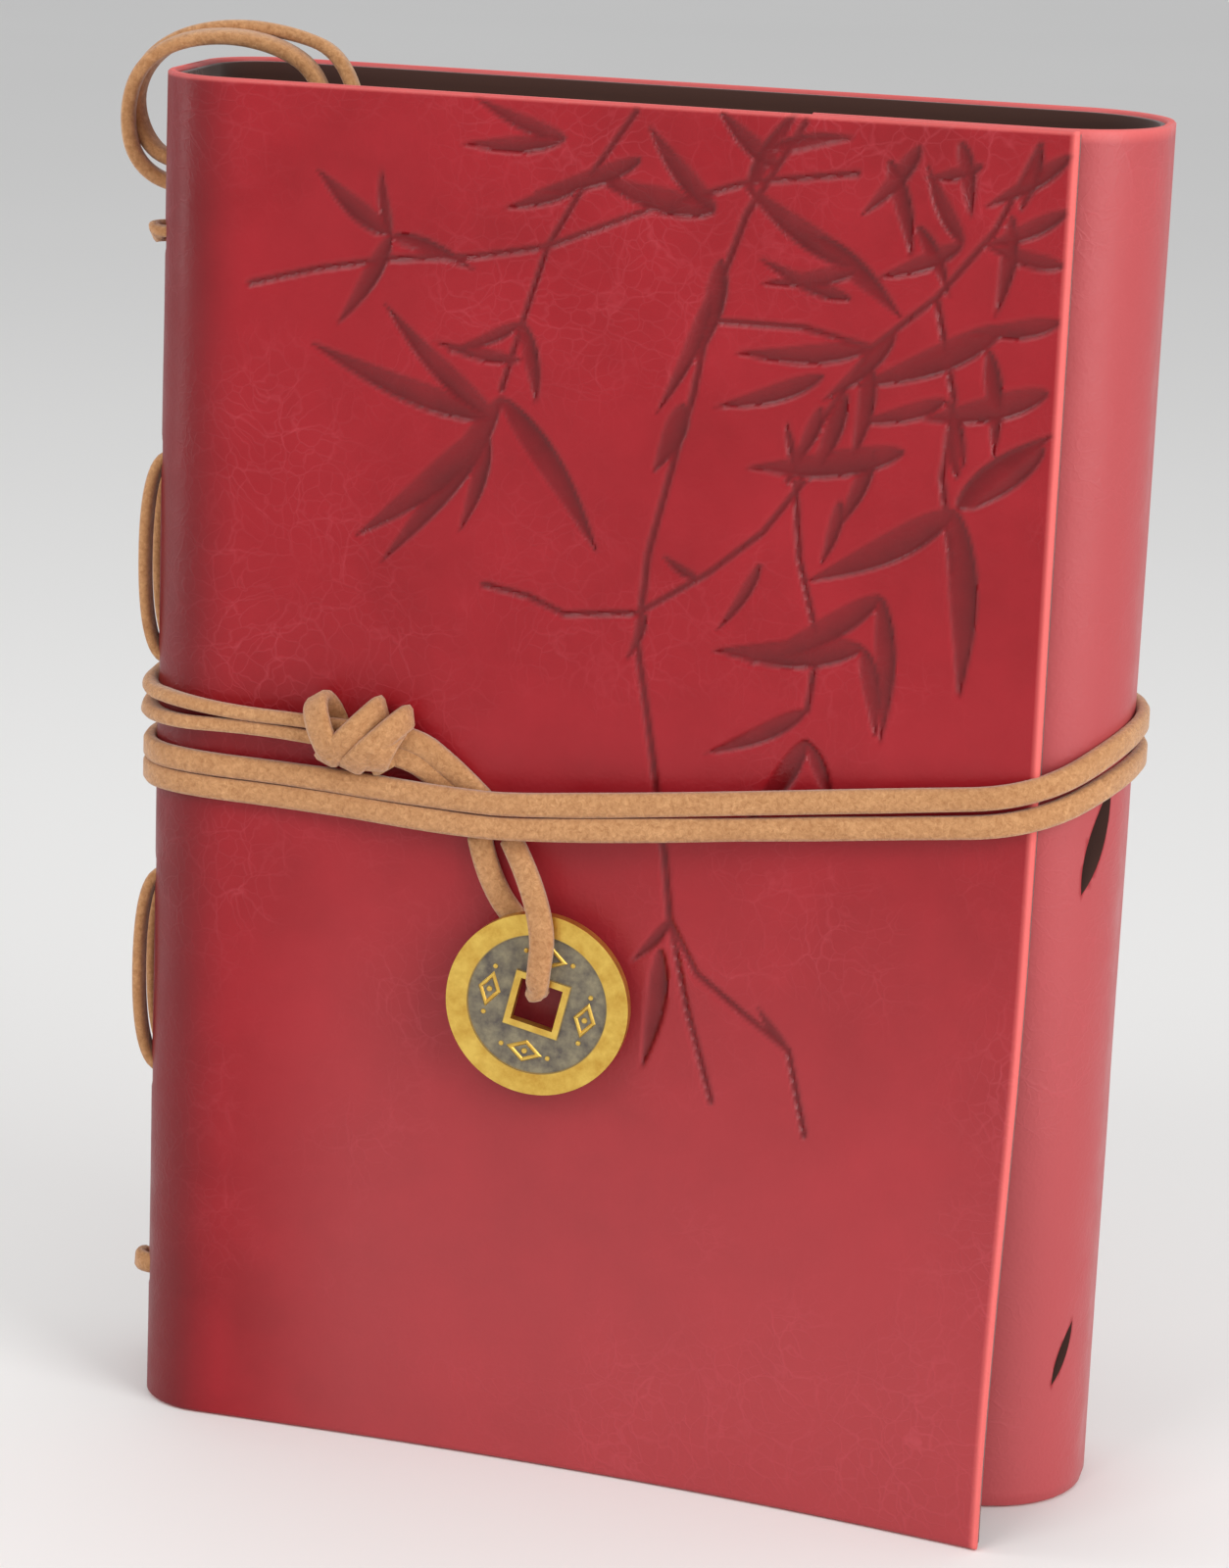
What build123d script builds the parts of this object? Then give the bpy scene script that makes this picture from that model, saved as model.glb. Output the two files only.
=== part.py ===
from build123d import *
import os
from math import acos, atan2, cos, hypot, pi, radians, sin, sqrt, tan

# A wrap journal, standing on its bottom edge. Millimetres.
# +Z is up, the spine is at -X, the front cover faces -Y and the fore-edge is at +X.
# The origin is the bottom centre of the box round everything but the free cords.

# Cover
height = 185.0
body_width = 132.0  # spine face to fore-edge face
body_depth = 34.0  # front cover face to back cover face
leather = 1.2
lining = 0.8
lining_inset = 0.5  # the lining stops this far inside the top and bottom edges
spine_radius = 10.0
fore_edge_radius = 14.0
front_setback = 9.6  # front cover's free edge, short of the fore-edge face
flap_reach = 44.0  # fore-edge face to the hidden edge of the tucked flap
hinge_gap = 0.3
lap_gap = 0.3  # between pieces that lie on each other

# Leaf-shaped slots in the fore-edge: (depth position, height, length, width, lean)
slots = [(-8.6, 92.5, 15.0, 2.6, 14.0), (-8.6, 21.0, 9.0, 1.4, 18.0)]
corner_share = 0.45  # the most of a thin part's depth that a rounded corner may take

# Pages: four folded signatures, two each side of the bookmark
page_inset = 7.0  # the pages stop this far inside the cover's top and bottom edges
page_setback = 16.0  # page edge, short of the fore-edge face
signature_gap = 0.2
fold_clearance = 0.5  # between a lace and the bore in its fold
front_signature_turns = [6.0, 3.0]  # how far the two front ones fan open, degrees

# Cord
cord = 2.6
cord_gap = 0.3  # cord to the surface it lies on
bend_share = 0.45  # of the shorter run beside it, that a free cord's bend takes
lace_margin_bottom = 18.0
lace_margin_top = 22.0
lace_rows = 6
lace_bend = 1.6
lace_tie_gap = 3.0  # between the two ends of a lace, where they are tied

# Bookmark cords: (past the spine face, aside in depth, above the top edge)
bookmark_routes = [
    [
        (-3.0, 0.0, -16.8), (-7.6, -1.5, -13.2), (-8.7, -1.5, -6.6), (-6.5, -1.5, -0.2),
        (-1.1, -1.5, 4.2), (6.0, -1.5, 5.6), (13.0, -1.0, 4.0), (18.0, -0.4, -0.6),
        (20.0, 0.0, -9.0), (21.0, 0.0, -25.0), (20.2, 0.0, -45.0), (20.7, 0.0, -63.0),
    ],
    [
        (-3.0, 0.0, -13.6), (-7.3, 1.5, -10.4), (-8.7, 1.5, -4.8), (-6.3, 1.5, 1.0),
        (-0.7, 1.5, 5.2), (6.5, 1.5, 6.9), (14.1, 1.1, 6.1), (20.6, 0.5, 2.4),
        (24.0, 0.0, -5.4), (25.1, 0.0, -21.0), (24.3, 0.0, -42.0), (25.5, 0.0, -61.0),
    ],
]

# Closure: one cord doubled. Heights are above the spine's fourth lace row, along the cord's way
closure_strands = {
    "closure_cord_upper": {
        "start": -11.4, "hump": -12.4, "edge": -5.4, "side": 1.0, "back": 1.6, "spine": -3.0,
        "knot_in": -3.3, "knot_out": -4.4, "tail": [(-2.6, -8.0), (1.6, -14.6)],
    },
    "closure_cord_lower": {
        "start": -14.6, "hump": -15.7, "edge": -9.2, "side": -3.6, "back": -3.2, "spine": -6.1,
        "knot_in": -6.3, "knot_out": -7.4, "tail": [(-5.6, -9.8), (-2.6, -14.6)],
    },
}
edge_clearance = 0.45  # cover's free edge to the line of the cord that bends at it
edge_bend = 3.0
anchor_bend = 1.6
hump_bend = 60.0
hump_rise = 0.1
easing = 0.98  # of a corner's own radius, so that two arcs meet with a short run between them

# Knot
knot_size = (15.0, 6.0, 9.0)
knot_chamfer = 1.8
knot_centre_x = -32.65
knot_drop = -4.8  # above the fourth lace row

# Pendant
pendant_x = -13.75
pendant_drop = -17.6  # top of its cord, above the fourth lace row
pendant_bends = [8.0, 5.0, 2.0, 2.0, 5.0]

# Coin
coin_diameter = 25.0
coin_thickness = 1.6
coin_rim = 2.9
coin_border = 0.9  # raised edge round the hole
coin_field_depth = 0.25
coin_hole = 5.9
coin_hole_turn = 13.0
coin_x = -6.45
coin_drop = -39.2  # coin's centre, above the fourth lace row

# ---- worked-out places ----
shell = leather + lining
lace_stand = cord_gap + cord  # a stitch stands this proud of the spine
spine_x = lace_stand - (body_width + lace_stand) / 2
fore_x = spine_x + body_width
front_y = -body_depth / 2
back_y = body_depth / 2
flap_y = front_y + shell + lap_gap
fore_radius = min(fore_edge_radius, corner_share * (back_y - flap_y))
cover_hinge_x = spine_x + spine_radius
cover_edge_x = fore_x - front_setback
flap_hinge_x = fore_x - fore_radius
tuck_x = fore_x - flap_reach

stack_front = flap_y + shell + lap_gap
stack_back = back_y - shell - lap_gap
bookmark_gap = cord + 2 * cord_gap
fold_channel = cord + 2 * fold_clearance
signature_depth = (stack_back - stack_front - bookmark_gap - 2 * signature_gap) / 4
page_height = height - 2 * page_inset
page_x = fore_x - page_setback
signature_y = [stack_front + signature_depth / 2]
for gap in (signature_gap, bookmark_gap, signature_gap):
    signature_y.append(signature_y[-1] + signature_depth + gap)
bookmark_y = (signature_y[1] + signature_y[2]) / 2
lace_pitch = (height - lace_margin_bottom - lace_margin_top) / (lace_rows - 1)
lace_z = [lace_margin_bottom + n * lace_pitch for n in range(lace_rows)]
closure_z = lace_z[3]
closure_starts = [closure_z + strand["start"] for strand in closure_strands.values()]
hole_radius = cord / 2 + cord_gap
off = cord_gap + cord / 2  # cord centre line to the surface it lies on


def overhang(y):
    """How far a depth reaches into the rounding of the spine's corner."""
    return max(abs(y) - (body_depth / 2 - spine_radius), 0.0)


def stitch_x(y):
    """Centre line of a stitch that lies on the spine's outer face at this depth."""
    nearest = max(abs(y) - cord / 2, 0.0)
    return cover_hinge_x - sqrt(spine_radius**2 - overhang(nearest) ** 2) - off


def fold_x(y):
    """Centre of a signature's fold, pushed in where the spine's corner is round."""
    room = spine_radius - shell - lap_gap - signature_depth / 2
    return cover_hinge_x - sqrt(max(room**2 - overhang(y) ** 2, 0.0))


# ---- cover ----
def plan(inset, front):
    """Plan of the closed cover, this far inside its outer face."""
    width = body_width - 2 * inset
    depth = back_y - front - 2 * inset
    face = Pos((spine_x + fore_x) / 2, (front + back_y) / 2) * Rectangle(width, depth)
    face = fillet(face.vertices().group_by(Axis.X)[0], spine_radius - inset)
    return fillet(face.vertices().group_by(Axis.X)[-1], fore_radius - inset)


def box_plan(x0, x1, y0, y1):
    return Pos((x0 + x1) / 2, (y0 + y1) / 2) * Rectangle(x1 - x0, y1 - y0)


def stand(face, inset_z):
    return Pos(0, 0, inset_z) * extrude(face, height - 2 * inset_z)


def lace_holes():
    """Holes across the spine: round ones for the laces, slots for the bookmark and closure pairs."""
    reach = 2 * spine_radius
    drill = Rot(0, 90, 0) * Cylinder(hole_radius, reach)
    holes = [Pos(spine_x, y, z) * drill for y in signature_y for z in lace_z]
    exits = [height + route[0][2] for route in bookmark_routes]
    for pair in (exits, closure_starts):
        slot = Box(reach, 2 * hole_radius, max(pair) - min(pair) + 2 * hole_radius)
        holes.append(Pos(spine_x, bookmark_y, sum(pair) / 2) * slot)
    return holes


def leaf(length, width):
    """A pointed leaf outline, upright."""
    tip = (0, length / 2)
    tail = (0, -length / 2)
    sides = ThreePointArc(tail, (width / 2, 0), tip) + ThreePointArc(tip, (-width / 2, 0), tail)
    return make_face(sides)


def slot_cutters():
    cutters = []
    for y, z, length, width, lean in slots:
        place = Pos(fore_x - fore_radius, 0, 0) * Plane.YZ * Pos(y, z) * Rot(0, 0, -lean)
        cutters.append(extrude(place * leaf(length, width), 2 * fore_radius))
    return cutters


def spine_and_back(outer, inner, inset_z):
    ring = plan(outer, front_y) - plan(inner, front_y)
    ring -= box_plan(cover_hinge_x, 2 * fore_x, 2 * front_y, 0)
    ring -= box_plan(flap_hinge_x, 2 * fore_x, 2 * front_y, 2 * back_y)
    return stand(ring, inset_z) - lace_holes()


def front_panel(outer, inner, inset_z):
    panel = box_plan(cover_hinge_x + hinge_gap, cover_edge_x, front_y + outer, front_y + inner)
    return stand(panel, inset_z)


def flap(outer, inner, inset_z):
    ring = plan(outer, flap_y) - plan(inner, flap_y)
    ring -= box_plan(2 * spine_x, flap_hinge_x + hinge_gap, 0, 2 * back_y)
    ring -= box_plan(2 * spine_x, tuck_x, 2 * front_y, 2 * back_y)
    return stand(ring, inset_z) - slot_cutters()


# ---- pages ----
def signature(n):
    """One folded signature: a round fold with the lace's bore in it, and holes through the fold."""
    y = signature_y[n]
    x = fold_x(y)
    page = box_plan(x, page_x, y - signature_depth / 2, y + signature_depth / 2)
    page += Pos(x, y) * Circle(signature_depth / 2)
    page -= Pos(x, y) * Circle(fold_channel / 2)
    block = Pos(0, 0, page_inset) * extrude(page, page_height)
    turn = front_signature_turns[n] if n < len(front_signature_turns) else 0.0
    swing = signature_depth / 2 * sin(radians(turn))
    hole = Box(signature_depth, 2 * (hole_radius + swing), 2 * hole_radius)
    return block - [Pos(x - signature_depth / 2, y, z) * hole for z in lace_z]


# ---- cords ----
def tube(name, points, radii):
    """A round cord along straight runs joined by arcs."""
    path = FilletPolyline(*points, radius=radii)
    solid = sweep(Plane(origin=path @ 0, z_dir=path % 0) * Circle(cord / 2), path=path)
    volume_share = solid.volume / (pi * (cord / 2) ** 2 * path.length)
    print(f"{name}: length {path.length:.1f} mm, volume / (section x length) {volume_share:.3f}")
    print("  radii", [round(radius, 1) for radius in radii])
    return solid


def lace(name, first, second):
    """One lace up the fold of one signature and down the next, in at every other row."""
    y_a, y_b = signature_y[first], signature_y[second]
    in_a, in_b = fold_x(y_a), fold_x(y_b)
    out_a, out_b = stitch_x(y_a), stitch_x(y_b)
    middle = (lace_z[0] + lace_z[1]) / 2
    points = [(in_a, y_a, middle + lace_tie_gap)]
    inside = True
    for z in lace_z[1:]:
        points.append((in_a if inside else out_a, y_a, z))
        inside = not inside
        points.append((in_a if inside else out_a, y_a, z))
    for z in reversed(lace_z):
        points.append((in_b if inside else out_b, y_b, z))
        inside = not inside
        points.append((in_b if inside else out_b, y_b, z))
    points += [(out_a, y_a, lace_z[0]), (in_a, y_a, lace_z[0]), (in_a, y_a, middle)]
    return tube(name, points, [lace_bend] * (len(points) - 2))


def bend_radii(points):
    """The largest arc that each corner's two runs leave room for."""
    radii = []
    for before, at, after in zip(points, points[1:], points[2:]):
        come = Vector(*at) - Vector(*before)
        go = Vector(*after) - Vector(*at)
        half_turn = radians(come.get_angle(go)) / 2
        radii.append(bend_share * min(come.length, go.length) / tan(half_turn))
    return radii


def bookmark(name, route):
    """A loop out of the spine's slot, over the top edge and down between the signatures."""
    start = (shell + lap_gap, 0.0, route[0][2])
    points = [(spine_x + x, bookmark_y + y, height + z) for x, y, z in [start, *route]]
    return tube(name, points, bend_radii(points))


pair_y = front_y - off  # a cord lying on the front cover
hump_y = pair_y - cord - 2 * cord_gap  # the pair, where it lies over the knotted cords
edge_x = cover_edge_x + edge_clearance
knot_y = front_y - cord_gap - knot_size[1] / 2
knot_z = closure_z + knot_drop
pendant_top_z = closure_z + pendant_drop
coin_z = closure_z + coin_drop
coin_back_y = pair_y - cord / 2 - cord_gap
coin_front_y = coin_back_y - coin_thickness
front_strand_y = coin_front_y - off


def round_corner(radius, centre_x, centre_y, side_x, side_y):
    """Two points that take a cord round a corner of the book, each through 45 degrees: side, then face."""
    reach = radius + off
    turn = reach * tan(pi / 8)
    side = (centre_x + side_x * reach, centre_y + side_y * turn)
    face = (centre_x + side_x * turn, centre_y + side_y * reach)
    return side, face


def fore_edge_point():
    """Where a cord from the free edge, tangent to the round fore-edge, meets its side plane."""
    centre_y = flap_y + fore_radius
    reach = fore_radius + off
    to_x, to_y = edge_x - flap_hinge_x, pair_y - centre_y
    touch = atan2(to_y, to_x) + acos(reach / hypot(to_x, to_y))
    touch_x = flap_hinge_x + reach * cos(touch)
    touch_y = centre_y + reach * sin(touch)
    return fore_x + off, touch_y - (fore_x + off - touch_x) / tan(touch)


def closure_cord(name, heights):
    """One strand: out of the spine, over the front, round the fore-edge and back, down to the pendant."""
    front_side, front_face = round_corner(spine_radius, cover_hinge_x, front_y + spine_radius, -1, -1)
    back_side, back_face = round_corner(spine_radius, cover_hinge_x, back_y - spine_radius, -1, 1)
    fore_side, fore_face = round_corner(fore_radius, flap_hinge_x, back_y - fore_radius, 1, 1)
    spine_bend = easing * (spine_radius + off)
    fore_bend = easing * (fore_radius + off)
    up = {place: closure_z + rise for place, rise in heights.items() if place != "tail"}
    turn, end = [(pendant_x + aside, pair_y, closure_z + rise) for aside, rise in heights["tail"]]
    route = [
        ((spine_x + shell + lap_gap, bookmark_y, up["start"]), None),
        ((spine_x - off, bookmark_y, up["start"]), anchor_bend),
        ((*front_side, up["start"]), spine_bend),
        ((*front_face, up["start"]), spine_bend),
        ((pendant_x - 6.0, hump_y, up["hump"] + hump_rise), hump_bend),
        ((pendant_x + 5.0, hump_y, up["hump"]), hump_bend),
        ((edge_x, pair_y, up["edge"]), edge_bend),
        ((*fore_edge_point(), up["side"]), fore_bend),
        ((*fore_side, up["back"]), fore_bend),
        ((*fore_face, up["back"]), fore_bend),
        ((*back_face, up["spine"]), spine_bend),
        ((*back_side, up["spine"]), spine_bend),
        ((*front_side, up["spine"]), spine_bend),
        ((*front_face, up["spine"]), spine_bend),
        ((knot_centre_x - knot_size[0] / 2, knot_y, up["knot_in"]), 20.0),
        ((knot_centre_x + knot_size[0] / 2, knot_y, up["knot_out"]), 8.0),
        (turn, 4.0),
        (end, None),
    ]
    return tube(name, [point for point, _ in route], [bend for _, bend in route[1:-1]])


def knot():
    """The overhand knot that ties both strands, as one plain lump."""
    lump = Box(*knot_size)
    lump = chamfer(lump.edges(), knot_chamfer)
    return Pos(knot_centre_x, knot_y, knot_z) * lump


def pendant_cord():
    """A bight that goes down behind the coin, through its hole and up over its face."""
    bight_z = coin_z + coin_hole / 2 - cord_gap / 2 - cord / 2
    points = [
        (pendant_x - 2.15, pair_y, pendant_top_z),
        (pendant_x - 0.6, pair_y, coin_z + 15.0),
        (coin_x - 1.6, pair_y, coin_z + 8.0),
        (coin_x - 0.5, pair_y, bight_z),
        (coin_x + 0.2, front_strand_y, bight_z),
        (coin_x + 1.3, front_strand_y, coin_z + 13.4),
        (pendant_x + 2.15, pair_y, pendant_top_z),
    ]
    return tube("pendant_cord", points, pendant_bends)


def coin():
    """A square-holed disc with a raised rim and a raised border round its hole."""
    disc = Cylinder(coin_diameter / 2, coin_thickness)
    field = Cylinder(coin_diameter / 2 - coin_rim, coin_field_depth)
    border = Box(coin_hole + 2 * coin_border, coin_hole + 2 * coin_border, coin_field_depth)
    recess = field - border
    step = coin_thickness / 2 - coin_field_depth / 2
    disc -= [Pos(0, 0, step) * recess, Pos(0, 0, -step) * recess]
    disc -= Box(coin_hole, coin_hole, 2 * coin_thickness)
    upright = Rot(90, 0, 0) * Rot(0, 0, -coin_hole_turn) * disc
    return Pos(coin_x, (coin_back_y + coin_front_y) / 2, coin_z) * upright


parts = {
    "front_cover": front_panel(0, leather, 0),
    "front_lining": front_panel(leather, shell, lining_inset),
    "spine_and_back_cover": spine_and_back(0, leather, 0),
    "spine_and_back_lining": spine_and_back(leather, shell, lining_inset),
    "fore_edge_flap": flap(0, leather, 0),
    "flap_lining": flap(leather, shell, lining_inset),
    "spine_lace_1": lace("spine_lace_1", 0, 1),
    "spine_lace_2": lace("spine_lace_2", 2, 3),
    "bookmark_cord_1": bookmark("bookmark_cord_1", bookmark_routes[0]),
    "bookmark_cord_2": bookmark("bookmark_cord_2", bookmark_routes[1]),
    "closure_knot": knot(),
    "pendant_cord": pendant_cord(),
    "coin": coin(),
}
for name, heights in closure_strands.items():
    parts[name] = closure_cord(name, heights)
for n in range(len(signature_y)):
    parts[f"signature_{n + 1}"] = signature(n)

os.makedirs("parts", exist_ok=True)
for name, shape in parts.items():
    export_step(shape, f"parts/{name}.step")

print(f"cover hinge ({cover_hinge_x:.3f}, {front_y:.3f}); flap hinge ({flap_hinge_x:.3f}, {back_y:.3f})")
for n in range(len(front_signature_turns)):
    print(f"signature {n + 1} turns about ({fold_x(signature_y[n]):.3f}, {signature_y[n]:.3f})")
print(f"pendant pivot ({pendant_x:.3f}, {(coin_back_y + coin_front_y) / 2:.3f}, {pendant_top_z:.3f})")
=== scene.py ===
import random
from math import cos, pi, radians, sin, sqrt

import bmesh
import bpy
import numpy as np
from mathutils import Matrix, Vector


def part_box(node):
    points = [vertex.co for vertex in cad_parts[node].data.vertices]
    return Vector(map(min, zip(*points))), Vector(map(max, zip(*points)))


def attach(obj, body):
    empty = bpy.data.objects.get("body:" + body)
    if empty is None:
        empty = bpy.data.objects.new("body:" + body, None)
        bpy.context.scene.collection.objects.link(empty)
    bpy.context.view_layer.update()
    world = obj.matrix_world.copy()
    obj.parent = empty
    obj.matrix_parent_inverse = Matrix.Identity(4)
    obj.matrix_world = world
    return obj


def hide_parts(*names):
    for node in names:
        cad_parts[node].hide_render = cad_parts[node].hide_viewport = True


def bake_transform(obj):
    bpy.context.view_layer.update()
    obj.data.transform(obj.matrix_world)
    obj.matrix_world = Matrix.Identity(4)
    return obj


# A red wrap journal standing on its bottom edge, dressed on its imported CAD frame. Metres, +Z up.

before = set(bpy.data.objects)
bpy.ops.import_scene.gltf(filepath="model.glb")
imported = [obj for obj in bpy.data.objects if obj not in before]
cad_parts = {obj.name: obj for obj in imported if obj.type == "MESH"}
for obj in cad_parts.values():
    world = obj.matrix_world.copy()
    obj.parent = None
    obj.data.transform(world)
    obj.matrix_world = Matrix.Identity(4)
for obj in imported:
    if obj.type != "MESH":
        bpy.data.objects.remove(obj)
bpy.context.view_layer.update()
MM = 0.001

# ---- sizes read from the frame ----
front_lo, front_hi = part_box("front_cover")
back_lo, back_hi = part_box("spine_and_back_cover")
flap_lo, flap_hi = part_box("fore_edge_flap")
front_lining_lo, front_lining_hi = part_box("front_lining")
coin_lo, coin_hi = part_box("coin")
knot_lo, knot_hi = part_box("closure_knot")
spine_x, fore_x = back_lo.x, flap_hi.x
front_y, back_y, flap_y = front_lo.y, back_hi.y, flap_lo.y
height = front_hi.z
leather = front_hi.y - front_lo.y
shell = front_lining_hi.y - front_lo.y
lining_inset = front_lining_lo.z
spine_radius = 10 * MM  # these two roundings are as in the CAD
fore_radius = 14 * MM
hinge_x = spine_x + spine_radius
flap_hinge_x = fore_x - fore_radius
cover_edge_x = front_hi.x
tuck_x = flap_lo.x

COIN_RIM = 2.9 * MM
COIN_FIELD_DEPTH = 0.25 * MM
COIN_TURN = radians(13)
STRAP_WIDTH, STRAP_THICK = 3.2 * MM, 1.9 * MM
LACE_WIDTH, LACE_THICK = 2.9 * MM, 1.5 * MM
LACE_ROWS = [18 + 29 * n for n in range(6)]  # heights of the laces' holes, millimetres
LACE_HALF = 1.3 * MM  # half the CAD cord's width
LACE_STAND = 2.4 * MM  # the outer runs' route, out from the spine's face
LACE_TIE_GAP = 3.0  # between a lace's two ends, millimetres
CORD_HOLES_Y = 1.15 * MM
CORD_HOLES_Z = (168.2, 171.4, 93.6, 90.4)  # where bookmarks and closure leave the spine, millimetres


# ---- small helpers ----
def srgb(r, g, b):
    """Linear colour of an 8-bit one."""
    parts = [c / 255 for c in (r, g, b)]
    return tuple(c / 12.92 if c <= 0.04045 else ((c + 0.055) / 1.055) ** 2.4 for c in parts) + (1.0,)


def smooth(edge_0, edge_1, x):
    """0 before edge_0, 1 after edge_1, and an even S between them."""
    t = np.clip((x - edge_0) / (edge_1 - edge_0), 0.0, 1.0)
    return t * t * (3 - 2 * t)


def new_mesh(name, verts, faces, smooth_shading=True):
    mesh = bpy.data.meshes.new(name)
    mesh.from_pydata([tuple(v) for v in verts], [], [tuple(f) for f in faces])
    turned_out = bmesh.new()  # the object's pieces are closed, so their faces can be turned out
    turned_out.from_mesh(mesh)
    bmesh.ops.recalc_face_normals(turned_out, faces=turned_out.faces)
    turned_out.to_mesh(mesh)
    turned_out.free()
    if smooth_shading:
        mesh.polygons.foreach_set("use_smooth", [True] * len(mesh.polygons))
    mesh.update()
    obj = bpy.data.objects.new(name, mesh)
    bpy.context.scene.collection.objects.link(obj)
    return obj


def add_values(obj, name, values):
    layer = obj.data.attributes.new(name, "FLOAT", "POINT")
    layer.data.foreach_set("value", np.asarray(values, dtype=np.float32))


def keep_places(obj):
    """The places at rest, so that the grain stays on the surface as it bends."""
    places = np.empty(3 * len(obj.data.vertices), dtype=np.float32)
    obj.data.vertices.foreach_get("co", places)
    layer = obj.data.attributes.new("rest_place", "FLOAT_VECTOR", "POINT")
    layer.data.foreach_set("vector", places)


# ---- materials ----
class Look:
    """A material's node tree, with short ways to add what it needs."""

    def __init__(self, name, roughness=0.5, **sockets):
        self.material = bpy.data.materials.new(name)
        self.material.use_nodes = True
        self.tree = self.material.node_tree
        self.shader = self.tree.nodes["Principled BSDF"]
        self.shader.inputs["Roughness"].default_value = roughness
        for socket, value in sockets.items():
            self.shader.inputs[socket.replace("_", " ")].default_value = value

    def node(self, kind, **inputs):
        node = self.tree.nodes.new(kind)
        for name, value in inputs.items():
            socket = node.inputs[name.replace("_", " ")]
            if isinstance(value, bpy.types.NodeSocket):
                self.tree.links.new(value, socket)
            else:
                socket.default_value = value
        return node

    def link(self, output, socket):
        self.tree.links.new(output, self.shader.inputs[socket])

    def attribute(self, name, output="Fac"):
        node = self.node("ShaderNodeAttribute")
        node.attribute_name = name
        return node.outputs[output]

    def places(self):
        """Where on the piece: the kept places if it bends, and its own otherwise."""
        return self.attribute("rest_place", "Vector")

    def own_places(self):
        return self.node("ShaderNodeTexCoord").outputs["Object"]

    def noise(self, vector, scale, detail=3.0, rough=0.55, distortion=0.0):
        return self.node(
            "ShaderNodeTexNoise", Vector=vector, Scale=scale, Detail=detail, Roughness=rough,
            Distortion=distortion,
        ).outputs["Fac"]

    def cells(self, vector, scale, feature="F1"):
        node = self.tree.nodes.new("ShaderNodeTexVoronoi")
        node.feature = feature
        self.tree.links.new(vector, node.inputs["Vector"])
        node.inputs["Scale"].default_value = scale
        return node.outputs["Distance"]

    def span(self, value, low, high, to_low=0.0, to_high=1.0):
        node = self.node(
            "ShaderNodeMapRange", Value=value, From_Min=low, From_Max=high, To_Min=to_low, To_Max=to_high
        )
        return node.outputs["Result"]

    def math(self, kind, a, b):
        node = self.tree.nodes.new("ShaderNodeMath")
        node.operation = kind
        for socket, value in zip(node.inputs, (a, b)):
            if isinstance(value, bpy.types.NodeSocket):
                self.tree.links.new(value, socket)
            else:
                socket.default_value = value
        return node.outputs[0]

    def mix(self, share, a, b, kind="MIX"):
        node = self.tree.nodes.new("ShaderNodeMix")
        node.data_type = "RGBA"
        node.blend_type = kind
        for socket, value in ((node.inputs[0], share), (node.inputs[6], a), (node.inputs[7], b)):
            if isinstance(value, bpy.types.NodeSocket):
                self.tree.links.new(value, socket)
            else:
                socket.default_value = value
        return node.outputs[2]

    def stretched(self, vector, x, y, z):
        node = self.node("ShaderNodeMapping", Vector=vector)
        node.inputs["Scale"].default_value = (x, y, z)
        return node.outputs["Vector"]

    def bump(self, height_value, strength, distance, below=None):
        inputs = {"Height": height_value, "Strength": strength, "Distance": distance}
        if below is not None:
            inputs["Normal"] = below
        return self.node("ShaderNodeBump", **inputs).outputs["Normal"]


def cover_leather():
    """Semi-gloss red leather: clouded colour, pale wrinkle veins, fine pores, darker where pressed; paler
    on the fore-edge as painted sheen and towards the bottom; darker round the spine and its holes as
    painted shade.
    """
    look = Look("cover_leather", 0.42, Specular_IOR_Level=0.34, Coat_Weight=0.06, Coat_Roughness=0.28)
    where = look.places()
    cloud = look.noise(where, 22, 4, 0.6)
    patch = look.noise(where, 75, 4, 0.6)
    wander = look.node("ShaderNodeTexNoise", Vector=where, Scale=60.0, Detail=4.0)
    bent = look.mix(0.014, where, wander.outputs["Color"], "ADD")
    wide = look.cells(bent, 150, "DISTANCE_TO_EDGE")
    fine = look.cells(bent, 420, "DISTANCE_TO_EDGE")
    veins = look.span(wide, 0.0, 0.035, 1.0, 0.0)
    fine_veins = look.span(fine, 0.0, 0.06, 1.0, 0.0)
    where_worn = look.span(look.noise(where, 30, 3, 0.6), 0.46, 0.68)
    veins = look.math("MULTIPLY", veins, where_worn)
    fine_veins = look.math("MULTIPLY", fine_veins, where_worn)
    base = look.mix(look.span(cloud, 0.3, 0.7), srgb(134, 6, 18), srgb(154, 13, 27))
    base = look.mix(look.span(patch, 0.35, 0.75, 0.0, 0.5), base, srgb(168, 26, 38))
    # Paler: painted sheen on the fore-edge, and lighter towards the bottom.
    base = look.mix(look.attribute("pale"), base, srgb(183, 79, 82))
    base = look.mix(look.math("MULTIPLY", veins, 0.15), base, srgb(205, 84, 94))
    base = look.mix(look.math("MULTIPLY", fine_veins, 0.14), base, srgb(205, 84, 94))
    stain = look.span(look.noise(where, 260, 3, 0.6), 0.3, 0.7, 0.80, 1.0)
    base = look.mix(look.math("MULTIPLY", look.attribute("press"), stain), base, srgb(92, 6, 12))
    # Darker: painted shade on the spine's rounding and in the dimples round its holes.
    base = look.mix(look.attribute("dark"), base, srgb(92, 6, 14))
    base = look.mix(look.attribute("edge"), base, srgb(240, 112, 108))
    look.link(base, "Base Color")
    rough = look.span(look.noise(where, 140, 3, 0.6), 0.3, 0.7, 0.36, 0.5)
    rough = look.math("SUBTRACT", rough, look.math("MULTIPLY", look.attribute("press"), 0.08))
    look.link(rough, "Roughness")
    pores = look.cells(where, 1700)
    grain = look.noise(where, 900, 4, 0.6)
    normal = look.bump(pores, 0.10, 0.0002)
    normal = look.bump(grain, 0.12, 0.0003, normal)
    normal = look.bump(look.math("MAXIMUM", veins, fine_veins), 0.16, 0.0003, normal)
    normal = look.bump(look.noise(where, 120, 3, 0.5), 0.12, 0.001, normal)
    look.link(normal, "Normal")
    return look.material


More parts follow.
